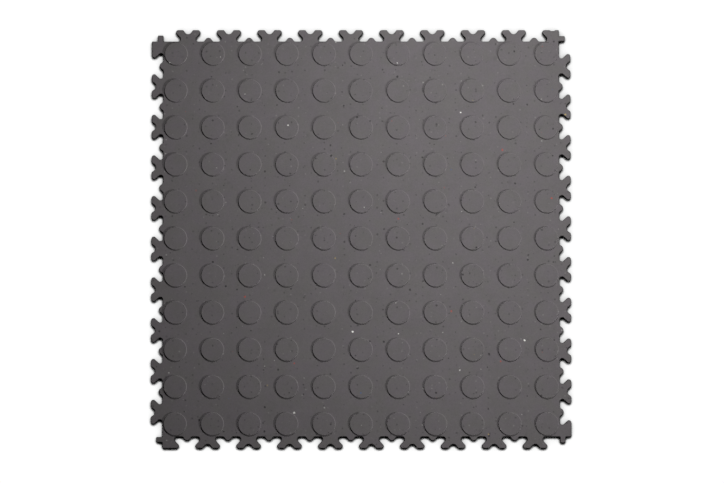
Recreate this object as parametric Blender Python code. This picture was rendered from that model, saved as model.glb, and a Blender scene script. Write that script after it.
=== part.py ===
"""Interlocking PVC garage floor tile, 510 mm square over its teeth and 7 mm thick.

The tile is one moulded piece. Its four edges are one run of dovetail teeth turned about the tile's middle,
so any edge locks into any edge of the next tile. Flat round coins stand proud of the top face.
Metres, +Z up, origin at the middle of the underside.
"""

import math

import bmesh
import bpy
from mathutils import Matrix, Vector

MM = 0.001

# Driving sizes
OVERALL = 510 * MM  # over the teeth
TOOTH_DEPTH = 14 * MM
THICKNESS = 7 * MM  # to the top of the coins
COIN_HEIGHT = 1.3 * MM
COINS_PER_SIDE = 11
COIN_DIAMETER = 28 * MM
TEETH_PER_MODULE = 10
TEETH = 9  # whole teeth on an edge, before the cut-off corner tooth
TOOTH_OFFSET = 0.25  # how far the middle tooth stands off the edge's middle, in pitches

# One tooth, measured from its own middle
HEAD_HALF = 14.95 * MM
NECK_HALF = 9.6 * MM
FLANK_LOW = 4.1 * MM  # where the slanted flank starts above the body's edge
NOTCH_HALF = 5.8 * MM
NOTCH_APEX = 8.3 * MM  # depth of the notch's V before it is rounded
BUMP_HALF = 5.5 * MM
BUMP_APEX = 7.85 * MM  # height of the bump's V before it is rounded
HEAD_RADIUS = 3 * MM
ROOT_RADIUS = 2.7 * MM
FLANK_RADIUS = 1.5 * MM
NOTCH_RADIUS = 4.5 * MM
BUMP_RADIUS = 4.3 * MM

# Corner tab, which fills a quarter of the hole where four tiles meet
TAB_WIDTH = 6.7 * MM
TAB_HEIGHT = 7.3 * MM

# Shallow moulded dip in the end of the corner tooth at the top right
DIP_START = 229.6 * MM
DIP_END = 236.6 * MM
DIP_SLOPE = 1.6 * MM
DIP_DEPTH = 1 * MM

# Worked-out sizes
MODULE = OVERALL - TOOTH_DEPTH  # repeat of the laid tiles
BODY_HALF = (MODULE - TOOTH_DEPTH) / 2
OUTER_HALF = OVERALL / 2
PITCH = MODULE / TEETH_PER_MODULE
FIRST_TOOTH = -((TEETH - 1) / 2 + TOOTH_OFFSET) * PITCH
SLAB_THICKNESS = THICKNESS - COIN_HEIGHT
COIN_PITCH = MODULE / COINS_PER_SIDE

# Facets
CORNER_STEPS = 2
BEND_STEPS = 1
ROUND_STEPS = 3
COIN_SIDES = 12

COIN_SINK = 0.3 * MM  # how far a coin reaches into the slab before they are joined
WELD_DISTANCE = 0.01 * MM
FACET_ANGLE = math.radians(40)


def corner(u, v, radius=0.0, steps=1):
    """A corner of the edge run: u along the edge, v out from the body, and the arc that rounds it."""
    return Vector((u, v)), radius, steps


def flank(middle, side):
    """One side of a tooth, from its root out to the corner of its head. side is -1 or 1."""
    neck = middle + side * NECK_HALF
    head = middle + side * HEAD_HALF
    return [
        corner(neck, 0, ROOT_RADIUS, CORNER_STEPS),
        corner(neck, FLANK_LOW, FLANK_RADIUS, BEND_STEPS),
        corner(head, TOOTH_DEPTH - FLANK_LOW, FLANK_RADIUS, BEND_STEPS),
        corner(head, TOOTH_DEPTH, HEAD_RADIUS, CORNER_STEPS),
    ]


def tooth(middle):
    """A whole dovetail tooth with the round notch in its head."""
    notch = [
        corner(middle - NOTCH_HALF, TOOTH_DEPTH),
        corner(middle, TOOTH_DEPTH - NOTCH_APEX, NOTCH_RADIUS, ROUND_STEPS),
        corner(middle + NOTCH_HALF, TOOTH_DEPTH),
    ]
    return flank(middle, -1) + notch + flank(middle, 1)[::-1]


def bump(middle):
    """The round bump in a gap, which fills the notch of the neighbour's tooth."""
    return [
        corner(middle - BUMP_HALF, 0),
        corner(middle, BUMP_APEX, BUMP_RADIUS, ROUND_STEPS),
        corner(middle + BUMP_HALF, 0),
    ]


def edge_run():
    """One edge, from the cut-off end of the corner tooth before it to the head of its own corner tooth."""
    run = [
        corner(-OUTER_HALF, 0),
        corner(-BODY_HALF - TAB_WIDTH, 0),
        corner(-BODY_HALF - TAB_WIDTH, TAB_HEIGHT),
        corner(-BODY_HALF, TAB_HEIGHT),
        corner(-BODY_HALF, 0),
    ]
    for index in range(TEETH):
        middle = FIRST_TOOTH + index * PITCH
        run += tooth(middle) + bump(middle + PITCH / 2)
    return run + flank(FIRST_TOOTH + TEETH * PITCH, -1)


def dip():
    """The shallow dip in the end of one corner tooth."""
    return [
        corner(DIP_START, TOOTH_DEPTH),
        corner(DIP_START + DIP_SLOPE, TOOTH_DEPTH - DIP_DEPTH),
        corner(DIP_END - DIP_SLOPE, TOOTH_DEPTH - DIP_DEPTH),
        corner(DIP_END, TOOTH_DEPTH),
    ]


def tile_corners():
    """The four edges in turn, clockwise from the top left corner. Only the first has the dip."""
    corners = []
    for quarter in range(4):
        run = edge_run()
        if quarter == 0:
            run += dip()
        turn = Matrix.Rotation(-quarter * math.pi / 2, 2)
        for place, radius, steps in run:
            corners.append((turn @ (place + Vector((0, BODY_HALF))), radius, steps))
    return corners


def rounded(corners):
    """The closed outline through the corners, each one that has a radius turned into an arc."""
    points = []
    for index, (place, radius, steps) in enumerate(corners):
        if radius == 0:
            points.append(place)
            continue
        back = (corners[index - 1][0] - place).normalized()
        ahead = (corners[(index + 1) % len(corners)][0] - place).normalized()
        half_angle = back.angle(ahead) / 2
        centre = place + (back + ahead).normalized() * radius / math.sin(half_angle)
        reach = radius / math.tan(half_angle)
        start = place + back * reach - centre
        end = place + ahead * reach - centre
        first = math.atan2(start.y, start.x)
        sweep = math.remainder(math.atan2(end.y, end.x) - first, math.tau)
        for step in range(steps + 1):
            angle = first + sweep * step / steps
            points.append(centre + radius * Vector((math.cos(angle), math.sin(angle))))
    return points


def add_slab(collection):
    """The flat body with its teeth: the outline as a filled curve, extruded to the slab's thickness."""
    outline = rounded(tile_corners())
    curve = bpy.data.curves.new("tile_outline", "CURVE")
    curve.dimensions = "2D"
    curve.fill_mode = "BOTH"
    curve.extrude = SLAB_THICKNESS / 2
    spline = curve.splines.new("POLY")
    spline.points.add(len(outline) - 1)
    for point, place in zip(spline.points, outline):
        point.co = (place.x, place.y, 0, 1)
    spline.use_cyclic_u = True
    outline_object = bpy.data.objects.new("tile_outline", curve)
    outline_object.location.z = SLAB_THICKNESS / 2
    collection.objects.link(outline_object)

    bpy.context.view_layer.update()
    evaluated = outline_object.evaluated_get(bpy.context.evaluated_depsgraph_get())
    mesh = bpy.data.meshes.new_from_object(evaluated)
    mesh.name = "tile"
    slab = bpy.data.objects.new("tile", mesh)
    slab.matrix_world = outline_object.matrix_world
    collection.objects.link(slab)
    bpy.data.objects.remove(outline_object)

    # Many points lie on one line, so each cap is filled again as a single face after the weld.
    body = bmesh.new()
    body.from_mesh(mesh)
    bmesh.ops.remove_doubles(body, verts=body.verts, dist=WELD_DISTANCE)
    caps = [face for face in body.faces if len({vertex.co.z for vertex in face.verts}) == 1]
    bmesh.ops.delete(body, geom=caps, context="FACES")
    bmesh.ops.holes_fill(body, edges=body.edges)
    bmesh.ops.recalc_face_normals(body, faces=body.faces)
    body.to_mesh(mesh)
    body.free()
    return slab


def add_coins(collection):
    """All the coins in one mesh, each one a short prism that reaches a little into the slab."""
    coins = bmesh.new()
    height = COIN_HEIGHT + COIN_SINK
    reach = (COINS_PER_SIDE - 1) / 2
    for row in range(COINS_PER_SIDE):
        for column in range(COINS_PER_SIDE):
            place = Vector(((column - reach) * COIN_PITCH, (row - reach) * COIN_PITCH, THICKNESS - height / 2))
            bmesh.ops.create_cone(
                coins,
                cap_ends=True,
                segments=COIN_SIDES,
                radius1=COIN_DIAMETER / 2,
                radius2=COIN_DIAMETER / 2,
                depth=height,
                matrix=Matrix.Translation(place),
            )
    mesh = bpy.data.meshes.new("coins")
    coins.to_mesh(mesh)
    coins.free()
    coin_object = bpy.data.objects.new("coins", mesh)
    coin_object.display_type = "WIRE"
    coin_object.hide_render = True
    collection.objects.link(coin_object)
    return coin_object


def pvc():
    """Dark grey recycled PVC with a satin skin."""
    material = bpy.data.materials.new("pvc")
    material.use_nodes = True
    shader = material.node_tree.nodes["Principled BSDF"]
    shader.inputs["Base Color"].default_value = (0.115, 0.108, 0.110, 1)
    shader.inputs["Roughness"].default_value = 0.5
    shader.inputs["Metallic"].default_value = 0.0
    return material


def add_collection(name):
    collection = bpy.data.collections.new(name)
    bpy.context.scene.collection.children.link(collection)
    return collection


def main():
    for old in list(bpy.data.objects):
        bpy.data.objects.remove(old)
    tile = add_slab(add_collection("garage_floor_tile"))
    coins = add_coins(add_collection("cutters"))
    join = tile.modifiers.new("coins", "BOOLEAN")
    join.operation = "UNION"
    join.solver = "EXACT"
    join.object = coins
    facets = tile.modifiers.new("facets", "TRIANGULATE")
    facets.ngon_method = "BEAUTY"
    tile.data.materials.append(pvc())
    tile.data.shade_smooth()
    tile.data.set_sharp_from_angle(angle=FACET_ANGLE)


main()
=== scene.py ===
"""Looks of an interlocking PVC garage floor tile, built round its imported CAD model."""

import math

import bpy
from mathutils import Matrix, Vector
from mathutils.geometry import delaunay_2d_cdt


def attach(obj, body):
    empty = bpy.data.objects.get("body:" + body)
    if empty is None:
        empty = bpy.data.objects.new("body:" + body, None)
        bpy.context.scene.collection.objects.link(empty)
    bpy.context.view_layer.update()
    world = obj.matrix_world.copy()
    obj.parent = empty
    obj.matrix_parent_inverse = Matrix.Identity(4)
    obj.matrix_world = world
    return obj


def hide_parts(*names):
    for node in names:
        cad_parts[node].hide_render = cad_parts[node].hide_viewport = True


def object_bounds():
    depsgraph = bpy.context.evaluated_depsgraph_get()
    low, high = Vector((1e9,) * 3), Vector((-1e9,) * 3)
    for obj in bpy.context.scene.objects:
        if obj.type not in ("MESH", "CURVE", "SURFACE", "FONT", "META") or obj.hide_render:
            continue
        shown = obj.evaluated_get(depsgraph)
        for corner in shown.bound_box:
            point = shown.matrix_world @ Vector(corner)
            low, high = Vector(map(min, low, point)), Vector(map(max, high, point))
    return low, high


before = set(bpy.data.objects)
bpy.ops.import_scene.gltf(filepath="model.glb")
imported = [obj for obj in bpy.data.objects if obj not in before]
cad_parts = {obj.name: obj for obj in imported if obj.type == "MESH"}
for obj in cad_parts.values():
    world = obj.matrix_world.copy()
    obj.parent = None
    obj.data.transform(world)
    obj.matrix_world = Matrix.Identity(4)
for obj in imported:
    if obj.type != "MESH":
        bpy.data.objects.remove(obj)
CAD_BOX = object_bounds()
MM = 0.001

# The photograph's frame and where the tile lies in it, in its pixels
IMAGE_WIDTH, IMAGE_HEIGHT = 724, 483
TILE_CENTRE_PX = Vector((361.1, 238.45))
TILE_WIDTH_PX = 419.8
CAMERA_DISTANCE_PX = 5200
CAMERA_TILT = math.radians(4.5)  # away from straight down, towards the edge that is at the top
SENSOR_WIDTH = 36  # in millimetres, as the lens is

# The tile's outline, with the values of the CAD model
OVERALL = CAD_BOX[1].x - CAD_BOX[0].x
THICKNESS = CAD_BOX[1].z - CAD_BOX[0].z
PIXEL = OVERALL / TILE_WIDTH_PX
TOOTH_DEPTH = 14 * MM
TEETH = 9
TEETH_PER_MODULE = 10
HEAD_HALF = 14.95 * MM
NECK_HALF = 9.6 * MM
FLANK_LOW = 4.1 * MM
NOTCH_HALF = 5.8 * MM
NOTCH_APEX = 8.3 * MM
BUMP_HALF = 5.5 * MM
BUMP_APEX = 7.85 * MM
TAB_WIDTH = 6.7 * MM
TAB_HEIGHT = 7.3 * MM
DIP_START = 229.6 * MM
DIP_END = 236.6 * MM
DIP_SLOPE = 1.6 * MM
DIP_DEPTH = 1 * MM
MODULE = OVERALL - TOOTH_DEPTH
BODY_HALF = (MODULE - TOOTH_DEPTH) / 2
OUTER_HALF = OVERALL / 2
PITCH = MODULE / TEETH_PER_MODULE
TOOTH_OFFSET = 0.25  # how far the middle tooth stands off the edge's middle, in pitches
FIRST_TOOTH = -((TEETH - 1) / 2 + TOOTH_OFFSET) * PITCH

# Arcs that round the outline's corners: radius and number of steps
HEAD_ARC = (3 * MM, 6)
ROOT_ARC = (2.7 * MM, 6)
FLANK_ARC = (1.5 * MM, 3)
NOTCH_ARC = (4.5 * MM, 10)
BUMP_ARC = (4.3 * MM, 10)
MOUTH_ARC = (1.4 * MM, 3)
BUMP_FOOT_ARC = (1.8 * MM, 4)
SMALL_ARC = (0.7 * MM, 4)

# Coins
COINS_PER_SIDE = 11
COIN_RADIUS = 14.3 * MM  # of its foot
COIN_HEIGHT = 1.3 * MM
COIN_PITCH = MODULE / COINS_PER_SIDE
COIN_SEGMENTS = 48
COIN_FOOT = 0.15 * MM  # radius of the fillet round its foot
COIN_EDGE = 0.4 * MM  # radius of its upper edge
COIN_STEEPEST = math.radians(64)
COIN_FOOT_STEPS = 1
COIN_EDGE_STEPS = 3

# Edges of the slab
SLAB_TOP = THICKNESS - COIN_HEIGHT
TOP_EDGE = 0.5 * MM
TOP_EDGE_STEPS = 4
FOOT_GAP = 0.05 * MM  # least distance from a coin's foot to the rounded edge of the slab
LOW_EDGE = 0.25 * MM
LOW_EDGE_STEPS = 2
WALL_DRAFT = math.radians(3)

# Floor and backdrop, in metres. The dome stays near enough for a low view to reach it.
FLOOR_SIZE = 40
FLOOR_DROP = 0.05 * MM  # below the underside
DOME_RADIUS = FLOOR_SIZE / 2 - 1
DOME_SEGMENTS = 48
DOME_RINGS = 24
WHITE = 1.04  # brightness of both

# Shade on the floor: how far it reaches, and how open a place has to be for the darkest and the full white
SHADE_REACH = 15 * MM
SHADE_OPENNESS = (0.2, 0.9)
SHADE_DARKEST = 0.5
CONTACT_REACH = 4 * MM
CONTACT_OPENNESS = (0.6, 0.8)
CONTACT_SIDE = (0.07, 0.78, 0.62)  # the side that the contact shade is open or closed to
SHADE_SAMPLES = 8

# Lamps: name, place, the point that it aims at, spread and power
LAMP_SIZE = 0.10
LAMPS = [
    ("side_lamp", (1.51, -0.72, 0.68), (-1.95, 1.33, 0), math.radians(61), 4.85),
    ("back_lamp", (0.15, 0.91, 0.74), (0.11, -0.16, 0), math.radians(76), 2.4),
]
WORLD_STRENGTH = 0.02


def colour(r, g, b):
    return (r, g, b, 1)


# Colours of the PVC and of the scrap in it
PURPLE_GREY = colour(0.1295, 0.1170, 0.1250)
WARM_GREY = colour(0.1255, 0.1172, 0.1175)
# Walls and underside: the PVC's grey darkened to near black, which is painted shade
PAINTED_SHADE_SIDE_GREY = colour(0.034, 0.0311, 0.0324)
PAINTED_SHADE_SIDE_WARM_GREY = colour(0.033, 0.0311, 0.0312)
DARK_SCRAP = colour(0.030, 0.028, 0.029)

# Flecks: size of the cells that hold one each, share of the cells with one, radius, soft border,
# strength or colour, and the offset of the pattern
DARK_FLECKS = [
    (19 * MM, 0.85, 3.4 * MM, 2.6 * MM, 0.16, 1.3),
    (8 * MM, 0.60, 1.6 * MM, 0.8 * MM, 0.55, 2.1),
    (16 * MM, 0.50, 1.6 * MM, 0.5 * MM, 0.95, 3.7),
]
LIGHT_FLECKS = [
    (9 * MM, 0.50, 1.3 * MM, 0.7 * MM, colour(0.19, 0.18, 0.18), 4.9),
    (24 * MM, 0.35, 1.1 * MM, 0.3 * MM, colour(0.34, 0.33, 0.32), 5.3),
    (70 * MM, 0.55, 1.5 * MM, 0.4 * MM, colour(0.85, 0.84, 0.80), 6.1),
    (62 * MM, 0.45, 1.7 * MM, 0.5 * MM, colour(0.34, 0.085, 0.07), 7.7),
    (90 * MM, 0.45, 1.4 * MM, 0.4 * MM, colour(0.40, 0.30, 0.12), 8.3),
    (130 * MM, 0.45, 1.3 * MM, 0.4 * MM, colour(0.07, 0.12, 0.26), 9.1),
]
FAINTEST_DARK = 0.4  # shares of the strength that the faintest flecks have
FAINTEST_LIGHT = 0.25
SIDE_STRENGTH = 0.5  # of the strongest dark flecks on the walls and underside
RAGGED_SIZE = 1.5  # of the noise that makes the flecks irregular, in their radii

# Noise patterns: size of the features, offset, detail and roughness
TINT_NOISE = (14 * MM, 0.11, 3.0)
TONE_NOISE = (1.6 * MM, 0.23, 2.0)
PATCH_NOISE = (28 * MM, 0.37, 2.0)
GRAIN_NOISE = (0.9 * MM, 0.41, 3.0, 0.6)
SWELL_NOISE = (9 * MM, 0.83)
TOP_GLOSS_NOISE = (6 * MM, 0.59, 3.0)
SIDE_GLOSS_NOISE = (4 * MM, 0.71, 3.0)

# Ramps over those patterns: from low and high, to low and high
TINT_RAMP = (0.35, 0.65)
TONE_RAMP = (0.25, 0.75, 0.93, 1.07)
PATCH_RAMP = (0.3, 0.7, 0.97, 1.03)
TOP_ROUGHNESS = (0.3, 0.7, 0.52, 0.68)
SIDE_ROUGHNESS = (0.3, 0.7, 0.5, 0.65)

# Relief of the skin: height of the fine grain and of the soft waves
TOP_RELIEF = (0.02 * MM, 0.06 * MM)
SIDE_RELIEF = (0.03 * MM, 0.05 * MM)
SPECULAR = 0.25

UP = Vector((0, 0, 1))
WELD_DISTANCE = 1e-7
INSIDE_WITH_HOLES = 2  # kind of filling: inside the outer border, with the holes left out

# Places of the colour sockets among the inputs and outputs of a Mix node
MIX_FACTOR, MIX_FIRST, MIX_SECOND, MIX_RESULT = 0, 6, 7, 2

# The tile's skins: its upper faces, and its walls and underside
TOP, SIDE = range(2)


def corner(u, v, arc):
    """A corner of the edge run: u along the edge, v out from the body, and the arc that rounds it."""
    return Vector((u, v)), arc


def flank(middle, side):
    """One side of a tooth, from its root out to the corner of its head. side is -1 or 1."""
    neck = middle + side * NECK_HALF
    head = middle + side * HEAD_HALF
    return [
        corner(neck, 0, ROOT_ARC),
        corner(neck, FLANK_LOW, FLANK_ARC),
        corner(head, TOOTH_DEPTH - FLANK_LOW, FLANK_ARC),
        corner(head, TOOTH_DEPTH, HEAD_ARC),
    ]


def tooth(middle):
    """A whole dovetail tooth with the round notch in its head."""
    notch = [
        corner(middle - NOTCH_HALF, TOOTH_DEPTH, MOUTH_ARC),
        corner(middle, TOOTH_DEPTH - NOTCH_APEX, NOTCH_ARC),
        corner(middle + NOTCH_HALF, TOOTH_DEPTH, MOUTH_ARC),
    ]
    return flank(middle, -1) + notch + flank(middle, 1)[::-1]


def bump(middle):
    """The round bump in a gap."""
    return [
        corner(middle - BUMP_HALF, 0, BUMP_FOOT_ARC),
        corner(middle, BUMP_APEX, BUMP_ARC),
        corner(middle + BUMP_HALF, 0, BUMP_FOOT_ARC),
    ]


def dip():
    """The shallow dip in the end of one corner tooth."""
    return [
        corner(DIP_START, TOOTH_DEPTH, SMALL_ARC),
        corner(DIP_START + DIP_SLOPE, TOOTH_DEPTH - DIP_DEPTH, SMALL_ARC),
        corner(DIP_END - DIP_SLOPE, TOOTH_DEPTH - DIP_DEPTH, SMALL_ARC),
        corner(DIP_END, TOOTH_DEPTH, SMALL_ARC),
    ]


def edge_run():
    """One edge, from the cut-off end of the corner tooth before it to the head of its own corner tooth."""
    run = [
        corner(-OUTER_HALF, 0, SMALL_ARC),
        corner(-BODY_HALF - TAB_WIDTH, 0, SMALL_ARC),
        corner(-BODY_HALF - TAB_WIDTH, TAB_HEIGHT, SMALL_ARC),
        corner(-BODY_HALF, TAB_HEIGHT, SMALL_ARC),
        corner(-BODY_HALF, 0, SMALL_ARC),
    ]
    for index in range(TEETH):
        middle = FIRST_TOOTH + index * PITCH
        run += tooth(middle) + bump(middle + PITCH / 2)
    return run + flank(FIRST_TOOTH + TEETH * PITCH, -1)


def tile_corners():
    """The four edges in turn, clockwise from the top left corner. Only the first has the dip."""
    corners = []
    for quarter in range(4):
        run = edge_run()
        if quarter == 0:
            run += dip()
        turn = Matrix.Rotation(-quarter * math.pi / 2, 2)
        for place, arc in run:
            corners.append((turn @ (place + Vector((0, BODY_HALF))), arc))
    return corners


def rounded(corners):
    """The closed outline as one arc at each corner.

    Each arc is its spokes, centre, radius, tip, the step in from the tip, and 1 or -1 for bulging out or in.
    """
    arcs = []
    for index, (place, (radius, steps)) in enumerate(corners):
        back = (corners[index - 1][0] - place).normalized()
        ahead = (corners[(index + 1) % len(corners)][0] - place).normalized()
        half_angle = back.angle(ahead) / 2
        step_in = (back + ahead).normalized() / math.sin(half_angle)
        centre = place + step_in * radius
        reach = radius / math.tan(half_angle)
        start = place + back * reach - centre
        end = place + ahead * reach - centre
        first = math.atan2(start.y, start.x)
        sweep = math.remainder(math.atan2(end.y, end.x) - first, math.tau)
        angles = [first + sweep * step / steps for step in range(steps + 1)]
        spokes = [Vector((math.cos(angle), math.sin(angle))) for angle in angles]
        outward = -math.copysign(1, sweep)  # the outline runs clockwise
        arcs.append((spokes, centre, radius, place, step_in, outward))
    return arcs


def inset_points(arcs, inset):
    """(point, outward normal) along the outline moved in. An arc that it passes is one point, repeated."""
    outline = []
    for spokes, centre, radius, tip, step_in, outward in arcs:
        for spoke in spokes:
            if outward > 0 and inset > radius:
                outline.append((tip + inset * step_in, -step_in.normalized()))
            else:
                outline.append((centre + (radius - outward * inset) * spoke, outward * spoke))
    return outline


class Surface:
    """Points with their normals, and the faces between them."""

    def __init__(self):
        self.points = []
        self.normals = []
        self.faces = []
        self.skins = []

    def ring(self, points, normals):
        """A closed ring of points, in which a point that is repeated gets one vertex."""
        indices = []
        for point, normal in zip(points, normals):
            if not indices or point != self.points[-1]:
                self.points.append(point)
                self.normals.append(normal)
            indices.append(len(self.points) - 1)
        return indices

    def add(self, face, skin):
        self.faces.append(face)
        self.skins.append(skin)

    def bridge(self, low, high, skin):
        """Faces between two closed rings that run clockwise, seen from above."""
        for index in range(len(low)):
            face = (low[index - 1], high[index - 1], high[index], low[index])
            self.add(tuple(dict.fromkeys(face)), skin)

    def fill(self, loops, facing_up, skin):
        """A flat face inside the first loop and outside the others."""
        loops = [list(dict.fromkeys(loop)) for loop in loops]
        indices = [index for loop in loops for index in loop]
        flat = [self.points[index].xy for index in indices]
        borders = []
        first = 0
        for loop in loops:
            borders += [(first + step, first + (step + 1) % len(loop)) for step in range(len(loop))]
            first += len(loop)
        filled = delaunay_2d_cdt(flat, borders, [], INSIDE_WITH_HOLES, WELD_DISTANCE)
        _, _, faces, sources, _, _ = filled
        for face in faces:
            corners = [indices[sources[index][0]] for index in face]
            self.add(corners if facing_up else corners[::-1], skin)

    def mesh(self, name):
        mesh = bpy.data.meshes.new(name)
        mesh.from_pydata(self.points, [], self.faces)
        mesh.polygons.foreach_set("material_index", self.skins)
        mesh.shade_smooth()
        mesh.normals_split_custom_set_from_vertices(self.normals)
        return mesh


def slab_ring(surface, arcs, inset, height, tilt):
    """The outline moved in by inset at a height, with normals tilted up from level."""
    outline = inset_points(arcs, inset)
    points = [place.to_3d() + height * UP for place, _ in outline]
    normals = [math.cos(tilt) * normal.to_3d() + math.sin(tilt) * UP for _, normal in outline]
    return surface.ring(points, normals)


def add_slab_sides(surface, arcs):
    """The rim of the slab from its underside to its top. Returns the lowest and the highest ring."""
    rings = []
    for step in range(LOW_EDGE_STEPS + 1):
        tilt = -math.pi / 2 * (1 - step / LOW_EDGE_STEPS)
        inset = LOW_EDGE * (1 - math.cos(tilt)) + LOW_EDGE * math.tan(WALL_DRAFT)
        rings.append(slab_ring(surface, arcs, inset, LOW_EDGE * (1 + math.sin(tilt)), tilt))
    for step in range(TOP_EDGE_STEPS + 1):
        tilt = math.pi / 2 * step / TOP_EDGE_STEPS
        inset = TOP_EDGE * (1 - math.cos(tilt)) + SLAB_TOP * math.tan(WALL_DRAFT)
        height = SLAB_TOP - TOP_EDGE * (1 - math.sin(tilt))
        rings.append(slab_ring(surface, arcs, inset, height, tilt))
    for low, high in zip(rings, rings[1:]):
        surface.bridge(low, high, SIDE)
    return rings[0], rings[-1]


def coin_profile():
    """(radius, height, slope) from the foot of a coin to its flat top."""
    fillet = COIN_FOOT * (1 - math.cos(COIN_STEEPEST))
    edge = COIN_EDGE * (1 - math.cos(COIN_STEEPEST))
    straight = (COIN_HEIGHT - fillet - edge) / math.tan(COIN_STEEPEST)
    width = (COIN_FOOT + COIN_EDGE) * math.sin(COIN_STEEPEST) + straight
    profile = []
    for step in range(COIN_FOOT_STEPS + 1):
        slope = COIN_STEEPEST * step / COIN_FOOT_STEPS
        profile.append((COIN_RADIUS - COIN_FOOT * math.sin(slope), COIN_FOOT * (1 - math.cos(slope)), slope))
    for step in range(COIN_EDGE_STEPS + 1):
        slope = COIN_STEEPEST * (1 - step / COIN_EDGE_STEPS)
        inset = width - COIN_EDGE * math.sin(slope)
        profile.append((COIN_RADIUS - inset, COIN_HEIGHT - COIN_EDGE * (1 - math.cos(slope)), slope))
    return profile


def add_coin(surface, centre):
    """One coin on the slab's top. Returns the ring round its foot."""
    rings = []
    limit = BODY_HALF - TOP_EDGE - SLAB_TOP * math.tan(WALL_DRAFT) - FOOT_GAP
    spokes = [
        Vector((math.cos(angle), math.sin(angle), 0))
        for angle in (-math.tau * step / COIN_SEGMENTS for step in range(COIN_SEGMENTS))
    ]
    for radius, height, slope in coin_profile():
        points = [centre + radius * spoke + (SLAB_TOP + height) * UP for spoke in spokes]
        for point in points:
            point.x = max(-limit, min(limit, point.x))
            point.y = max(-limit, min(limit, point.y))
        normals = [math.sin(slope) * spoke + math.cos(slope) * UP for spoke in spokes]
        rings.append(surface.ring(points, normals))
    for low, high in zip(rings, rings[1:]):
        surface.bridge(low, high, TOP)
    surface.add(rings[-1][::-1], TOP)
    return rings[0]


def make_tile():
    surface = Surface()
    underside, top = add_slab_sides(surface, rounded(tile_corners()))
    feet = []
    middle = (COINS_PER_SIDE - 1) / 2
    for row in range(COINS_PER_SIDE):
        for column in range(COINS_PER_SIDE):
            centre = Vector(((column - middle) * COIN_PITCH, (row - middle) * COIN_PITCH, 0))
            feet.append(add_coin(surface, centre))
    surface.fill([top] + feet, True, TOP)
    surface.fill([underside], False, SIDE)
    tile = bpy.data.objects.new("moulded_tile", surface.mesh("moulded_tile"))
    bpy.context.scene.collection.objects.link(tile)
    return tile


class Nodes:
    """Short calls for the nodes of one material. A value or a socket may be given for each input."""

    def __init__(self, name, fleck_space="2D"):
        self.fleck_space = fleck_space
        self.material = bpy.data.materials.new(name)
        self.material.use_nodes = True
        self.tree = self.material.node_tree
        self.shader = self.tree.nodes["Principled BSDF"]
        self.place = self.add("ShaderNodeTexCoord").outputs["Object"]

    def add(self, kind, **settings):
        node = self.tree.nodes.new(kind)
        for key, value in settings.items():
            setattr(node, key, value)
        return node

    def join(self, node, **inputs):
        for key, value in inputs.items():
            socket = node.inputs[key.replace("_", " ")]
            if isinstance(value, bpy.types.NodeSocket):
                self.tree.links.new(value, socket)
            else:
                socket.default_value = value
        return node

    def moved(self, offset):
        """The place on the object, moved so that each layer gets its own part of a pattern."""
        shift = self.add("ShaderNodeVectorMath", operation="ADD")
        self.tree.links.new(self.place, shift.inputs[0])
        shift.inputs[1].default_value = (offset, offset / 2, 0)
        return shift.outputs["Vector"]

    def noise(self, size, offset, detail=2.0, roughness=0.5):
        """Noise from 0 to 1 with features of about the given size."""
        node = self.add("ShaderNodeTexNoise")
        self.join(node, Vector=self.moved(offset), Scale=1 / size, Detail=detail, Roughness=roughness)
        return node.outputs["Fac"]

    def ragged(self, offset, size, reach):
        """The moved place, pushed about by noise, which makes the edges of flecks irregular."""
        node = self.add("ShaderNodeTexNoise")
        self.join(node, Vector=self.moved(offset), Scale=1 / size, Detail=1.0)
        centred = self.add("ShaderNodeVectorMath", operation="SUBTRACT")
        self.tree.links.new(node.outputs["Color"], centred.inputs[0])
        centred.inputs[1].default_value = (0.5, 0.5, 0.5)
        scaled = self.add("ShaderNodeVectorMath", operation="SCALE")
        self.tree.links.new(centred.outputs["Vector"], scaled.inputs[0])
        scaled.inputs["Scale"].default_value = reach
        total = self.add("ShaderNodeVectorMath", operation="ADD")
        self.tree.links.new(self.moved(offset), total.inputs[0])
        self.tree.links.new(scaled.outputs["Vector"], total.inputs[1])
        return total.outputs["Vector"]

    def flecks(self, cell, share, radius, softness, offset):
        """1 inside flecks and 0 outside, and a random number for each: one fleck in a share of the cells."""
        node = self.add("ShaderNodeTexVoronoi", voronoi_dimensions=self.fleck_space)
        self.join(node, Vector=self.ragged(offset, radius * RAGGED_SIZE, radius), Scale=1 / cell)
        parts = self.add("ShaderNodeSeparateColor")
        self.join(parts, Color=node.outputs["Color"])
        reach = self.ramp(parts.outputs["Red"], 1 - share, 1, 0, radius / cell)
        inside = self.math("SUBTRACT", reach, node.outputs["Distance"])
        return self.ramp(inside, 0, softness / cell), parts.outputs["Green"]

    def ramp(self, value, low, high, out_low=0.0, out_high=1.0):
        node = self.add("ShaderNodeMapRange", clamp=True)
        self.join(node, Value=value, From_Min=low, From_Max=high, To_Min=out_low, To_Max=out_high)
        return node.outputs["Result"]

    def math(self, operation, first, second):
        node = self.add("ShaderNodeMath", operation=operation)
        for socket, value in zip(node.inputs, (first, second)):
            if isinstance(value, bpy.types.NodeSocket):
                self.tree.links.new(value, socket)
            else:
                socket.default_value = value
        return node.outputs["Value"]

    def mix(self, factor, first, second, blend="MIX"):
        """Colours mixed by a factor."""
        node = self.add("ShaderNodeMix", data_type="RGBA", blend_type=blend)
        for index, value in ((MIX_FACTOR, factor), (MIX_FIRST, first), (MIX_SECOND, second)):
            if isinstance(value, bpy.types.NodeSocket):
                self.tree.links.new(value, node.inputs[index])
            else:
                node.inputs[index].default_value = value
        return node.outputs[MIX_RESULT]


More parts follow.
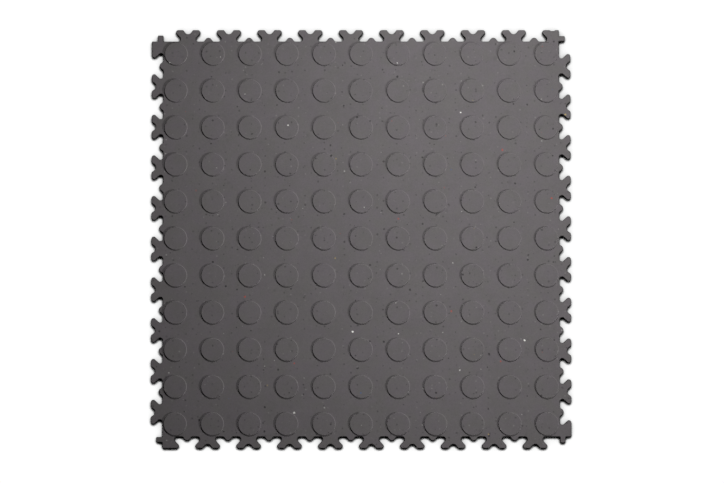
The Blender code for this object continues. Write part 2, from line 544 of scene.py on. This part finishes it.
def add_grain(n, fine, waves):
    """A bump of fine moulded grain over soft waves, with the height of each in metres."""
    grain = n.math("MULTIPLY", n.noise(*GRAIN_NOISE), fine)
    swell = n.math("MULTIPLY", n.noise(*SWELL_NOISE), waves)
    bump = n.join(n.add("ShaderNodeBump"), Height=n.math("ADD", grain, swell), Distance=1.0, Strength=1.0)
    n.tree.links.new(bump.outputs["Normal"], n.shader.inputs["Normal"])


def speckled(n, base, tint, dark_share=1.0):
    """The colour of recycled PVC: two tints in soft patches, dark smudges, and flecks of other scrap."""
    skin = n.mix(n.ramp(n.noise(*TINT_NOISE), *TINT_RAMP), base, tint)
    tone = n.ramp(n.noise(*TONE_NOISE), *TONE_RAMP)
    patches = n.ramp(n.noise(*PATCH_NOISE), *PATCH_RAMP)
    skin = n.mix(1.0, skin, n.math("MULTIPLY", tone, patches), "MULTIPLY")
    for cell, share, radius, softness, strength, offset in DARK_FLECKS:
        inside, random = n.flecks(cell, share, radius, softness, offset)
        weight = n.ramp(random, 0, 1, strength * FAINTEST_DARK, strength * dark_share)
        amount = n.math("MULTIPLY", inside, weight)
        skin = n.mix(amount, skin, DARK_SCRAP)
    for cell, share, radius, softness, shade, offset in LIGHT_FLECKS:
        inside, random = n.flecks(cell, share, radius, softness, offset)
        amount = n.math("MULTIPLY", inside, n.ramp(random, 0, 1, FAINTEST_LIGHT, 1.0))
        skin = n.mix(amount, skin, shade)
    return skin


def top_material():
    n = Nodes("pvc_top")
    n.join(n.shader, Base_Color=speckled(n, PURPLE_GREY, WARM_GREY), Specular_IOR_Level=SPECULAR)
    n.join(n.shader, Roughness=n.ramp(n.noise(*TOP_GLOSS_NOISE), *TOP_ROUGHNESS))
    add_grain(n, *TOP_RELIEF)
    return n.material


def painted_shade_side_material():
    """The walls and underside, darkened to near black as painted shade."""
    n = Nodes("pvc_side_painted_shade", "3D")
    skin = speckled(n, PAINTED_SHADE_SIDE_GREY, PAINTED_SHADE_SIDE_WARM_GREY, SIDE_STRENGTH)
    n.join(n.shader, Base_Color=skin, Specular_IOR_Level=SPECULAR)
    n.join(n.shader, Roughness=n.ramp(n.noise(*SIDE_GLOSS_NOISE), *SIDE_ROUGHNESS))
    add_grain(n, *SIDE_RELIEF)
    return n.material


def floor_material():
    """A pale floor of even brightness, darker between the teeth and at the foot of the walls."""
    n = Nodes("pale_floor")
    n.join(n.shader, Base_Color=colour(0, 0, 0), Roughness=0.9, Specular_IOR_Level=0.0)
    around = n.join(n.add("ShaderNodeAmbientOcclusion", samples=SHADE_SAMPLES), Distance=SHADE_REACH)
    soft = n.ramp(around.outputs["AO"], *SHADE_OPENNESS, SHADE_DARKEST, WHITE)
    x, y, z = CONTACT_SIDE
    side = n.join(n.add("ShaderNodeCombineXYZ"), X=x, Y=y, Z=z)
    one_side = n.join(n.add("ShaderNodeAmbientOcclusion", samples=SHADE_SAMPLES), Distance=CONTACT_REACH)
    n.tree.links.new(side.outputs["Vector"], one_side.inputs["Normal"])
    contact = n.ramp(one_side.outputs["AO"], *CONTACT_OPENNESS)
    shade = n.math("MULTIPLY", soft, contact)
    n.join(n.shader, Emission_Color=colour(1, 1, 1), Emission_Strength=shade)
    return n.material


def backdrop_material():
    n = Nodes("white_backdrop")
    n.join(n.shader, Base_Color=colour(0, 0, 0), Specular_IOR_Level=0.0)
    n.join(n.shader, Emission_Color=colour(1, 1, 1), Emission_Strength=WHITE)
    return n.material


def add_stage():
    """The floor and a dome over it, both seen by the camera only."""
    bpy.ops.mesh.primitive_plane_add(size=FLOOR_SIZE, location=(0, 0, -FLOOR_DROP))
    floor = bpy.context.object
    floor.name = "floor"
    floor.data.materials.append(floor_material())
    bpy.ops.mesh.primitive_uv_sphere_add(segments=DOME_SEGMENTS, ring_count=DOME_RINGS, radius=DOME_RADIUS)
    dome = bpy.context.object
    dome.name = "backdrop"
    dome.data.materials.append(backdrop_material())
    for thing in (floor, dome):
        thing.visible_diffuse = False
        thing.visible_glossy = False
        thing.visible_shadow = False


def add_lamp(name, place, target, spread, power):
    """A small disk lamp at a place, which lights a narrow spread about its target."""
    light = bpy.data.lights.new(name, "AREA")
    light.shape = "DISK"
    light.size = LAMP_SIZE
    light.spread = spread
    light.energy = power
    lamp = bpy.data.objects.new(name, light)
    bpy.context.scene.collection.objects.link(lamp)
    lamp.location = place
    lamp.rotation_euler = (Vector(target) - Vector(place)).to_track_quat("-Z", "Y").to_euler()


def add_camera():
    """Looks down on the tile from a little way over its lower edge."""
    distance = CAMERA_DISTANCE_PX * PIXEL
    data = bpy.data.cameras.new("camera")
    data.sensor_width = SENSOR_WIDTH
    data.lens = SENSOR_WIDTH * CAMERA_DISTANCE_PX / IMAGE_WIDTH
    data.shift_x = (IMAGE_WIDTH / 2 - TILE_CENTRE_PX.x) / IMAGE_WIDTH
    data.shift_y = (TILE_CENTRE_PX.y - IMAGE_HEIGHT / 2) / IMAGE_WIDTH
    camera = bpy.data.objects.new("camera", data)
    bpy.context.scene.collection.objects.link(camera)
    camera.location = (0, -distance * math.sin(CAMERA_TILT), SLAB_TOP + distance * math.cos(CAMERA_TILT))
    camera.rotation_euler = (CAMERA_TILT, 0, 0)
    bpy.context.scene.camera = camera


def set_view():
    """Plain colours, and a faint even light from all round."""
    scene = bpy.context.scene
    scene.view_settings.view_transform = "Standard"
    world = bpy.data.worlds.new("studio")
    world.use_nodes = True
    background = world.node_tree.nodes["Background"]
    background.inputs["Color"].default_value = colour(1, 1, 1)
    background.inputs["Strength"].default_value = WORLD_STRENGTH
    scene.world = world


add_camera()
set_view()
add_stage()
for lamp_values in LAMPS:
    add_lamp(*lamp_values)

tile = make_tile()
for make_material in (top_material, painted_shade_side_material):
    tile.data.materials.append(make_material())
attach(tile, "root")
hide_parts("tile")
